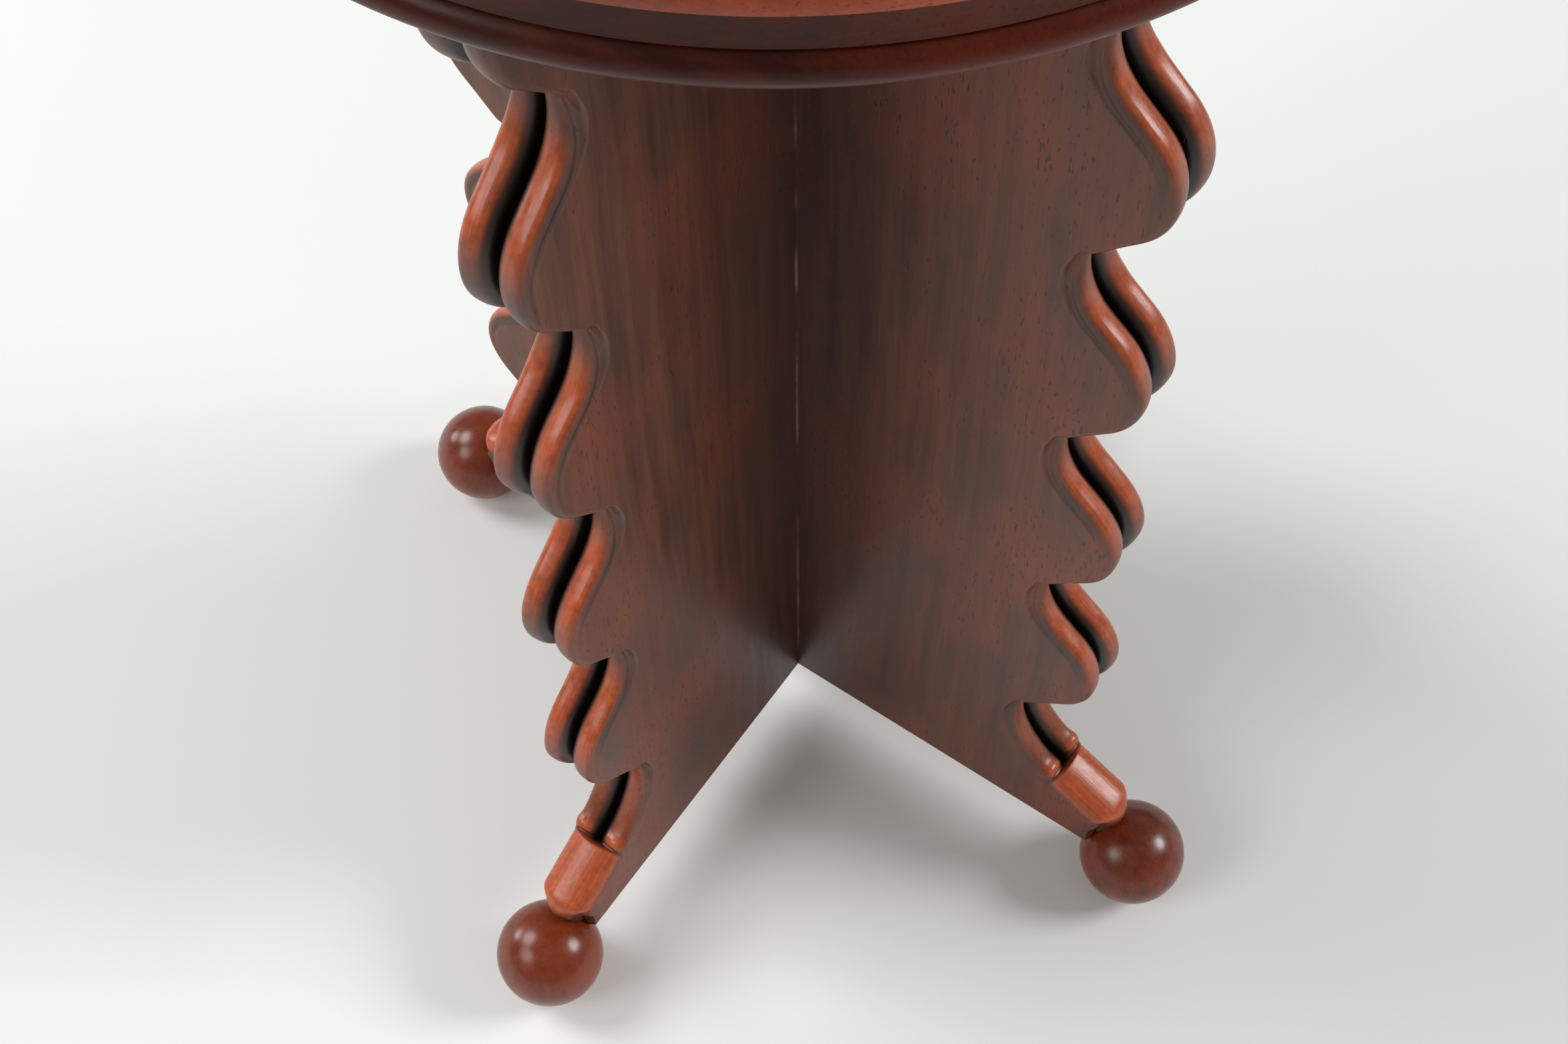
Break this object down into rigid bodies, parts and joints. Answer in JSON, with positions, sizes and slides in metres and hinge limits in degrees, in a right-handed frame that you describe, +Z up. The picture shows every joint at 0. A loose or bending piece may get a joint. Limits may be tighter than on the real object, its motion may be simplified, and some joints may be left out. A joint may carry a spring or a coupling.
{
  "type": "pedestal side table",
  "caption": "Small round-topped wooden side table on a cross-shaped pedestal of carved wing boards with stacked double-roll scroll edges, standing on turned ball feet",
  "frame": {"origin": "on the floor under the middle of the table", "axes": "+Z up, +X along the right wing, +Y along the rear wing; the front wing points along -Y"},
  "size_m": [0.36, 0.36, 0.552],
  "materials": {
    "stained_top": "satin red-brown stain and varnish",
    "stained_bead": "satin dark red stain and varnish",
    "stained_carving": "satin red-brown stain, rubbed orange on the carved rolls",
    "turned_ball": "satin orange-red stain and varnish",
    "plain_wood": "bare pale wood",
    "screw_steel": "bright steel"
  },
  "bodies": {
    "root": {"top_panel": "stained_top", "bearer_disc": "stained_bead", "centre_post": "stained_carving", "front_wing": "stained_carving", "right_wing": "stained_carving", "rear_wing": "stained_carving", "left_wing": "stained_carving", "front_ball_foot": "turned_ball", "right_ball_foot": "turned_ball", "rear_ball_foot": "turned_ball", "left_ball_foot": "turned_ball", "front_tongue": "plain_wood", "right_tongue": "plain_wood", "rear_tongue": "plain_wood", "left_tongue": "plain_wood", "front_foot_dowel": "plain_wood", "right_foot_dowel": "plain_wood", "rear_foot_dowel": "plain_wood", "left_foot_dowel": "plain_wood", "top_dowels": "plain_wood", "bearer_screws": "screw_steel"}
  },
  "joints": []
}
